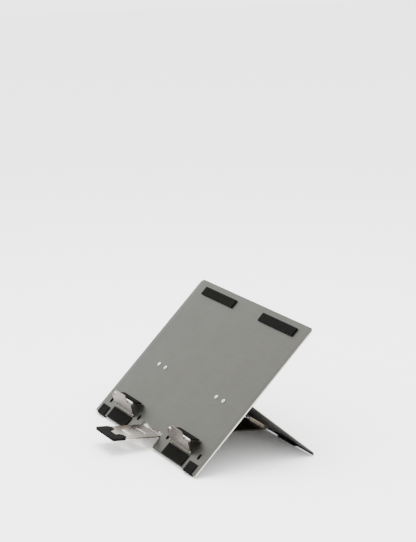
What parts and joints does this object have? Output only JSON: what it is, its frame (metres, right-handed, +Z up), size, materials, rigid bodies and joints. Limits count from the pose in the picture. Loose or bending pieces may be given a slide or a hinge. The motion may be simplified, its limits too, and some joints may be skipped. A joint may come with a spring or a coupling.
{
  "type": "laptop stand",
  "caption": "Folding sheet-steel laptop stand: sloping plate on a hinged rear leg, a cross arm through a notch in its foot, and fold-up hooks with rubber rests that hold a laptop's front edge.",
  "frame": {"origin": "on the floor, under the middle of the stand as it stands open", "axes": "+X to the stand's right, +Y from the hooks at the front towards the rear leg, +Z up"},
  "size_m": [0.2812, 0.2172, 0.1603],
  "materials": {
    "satin_steel": "satin grey stainless sheet, fine even grain",
    "bright_steel": "bright, lightly polished stainless sheet with a warm tint",
    "pin_steel": "turned and drawn steel, smooth",
    "pad_rubber": "matt black die-cut sheet",
    "foot_rubber": "matt black moulded, slightly rounded"
  },
  "bodies": {
    "plate": {"main_plate": "satin_steel", "left_front_foot": "foot_rubber", "left_front_pad": "pad_rubber", "left_top_pad": "pad_rubber", "left_inner_slot_bush": "pad_rubber", "left_outer_slot_bush": "pad_rubber", "left_leg_hinge_leaf": "pin_steel", "left_leg_hinge_pin": "pin_steel", "left_inner_rivet": "pin_steel", "left_outer_rivet": "pin_steel", "left_hook_pin": "pin_steel", "right_front_foot": "foot_rubber", "right_front_pad": "pad_rubber", "right_top_pad": "pad_rubber", "right_inner_slot_bush": "pad_rubber", "right_outer_slot_bush": "pad_rubber", "right_leg_hinge_leaf": "pin_steel", "right_leg_hinge_pin": "pin_steel", "right_inner_rivet": "pin_steel", "right_outer_rivet": "pin_steel", "right_hook_pin": "pin_steel"},
    "leg": {"rear_leg": "satin_steel", "left_rear_foot": "foot_rubber", "right_rear_foot": "foot_rubber", "arm_hinge_pin": "pin_steel"},
    "arm": {"cross_arm": "bright_steel", "arm_tip_pad": "foot_rubber"},
    "left_hook": {"left_hook_flap": "bright_steel", "left_ramp_pin": "pin_steel"},
    "left_ramp": {"left_hook_ramp": "bright_steel", "left_ramp_pad": "pad_rubber"},
    "right_hook": {"right_hook_flap": "bright_steel", "right_ramp_pin": "pin_steel"},
    "right_ramp": {"right_hook_ramp": "bright_steel", "right_ramp_pad": "pad_rubber"}
  },
  "joints": [
    {"name": "leg_fold", "type": "hinge", "parent": "plate", "child": "leg", "pos_m": [0, 0.0201, 0.07522], "axis": [1, 0, 0], "range_deg": [0, 84]},
    {"name": "arm_fold", "type": "hinge", "parent": "leg", "child": "arm", "pos_m": [0, 0.10616, 0.003], "axis": [1, 0, 0], "range_deg": [-33, 0]},
    {"name": "left_hook_fold", "type": "hinge", "parent": "plate", "child": "left_hook", "pos_m": [-0.0788, -0.04496, 0.0195], "axis": [1, 0, 0], "range_deg": [0, 120]},
    {"name": "left_ramp_fold", "type": "hinge", "parent": "left_hook", "child": "left_ramp", "pos_m": [-0.0788, -0.04561, 0.03433], "axis": [1, 0, 0], "range_deg": [-60, 0]},
    {"name": "right_hook_fold", "type": "hinge", "parent": "plate", "child": "right_hook", "pos_m": [0.0788, -0.04496, 0.0195], "axis": [1, 0, 0], "range_deg": [0, 120]},
    {"name": "right_ramp_fold", "type": "hinge", "parent": "right_hook", "child": "right_ramp", "pos_m": [0.0788, -0.04561, 0.03433], "axis": [1, 0, 0], "range_deg": [-60, 0]}
  ],
  "couplings": [
    {"joint": "arm_fold", "follows": "leg_fold", "ratio": -0.39},
    {"joint": "left_ramp_fold", "follows": "left_hook_fold", "ratio": -0.5},
    {"joint": "right_ramp_fold", "follows": "right_hook_fold", "ratio": -0.5}
  ]
}
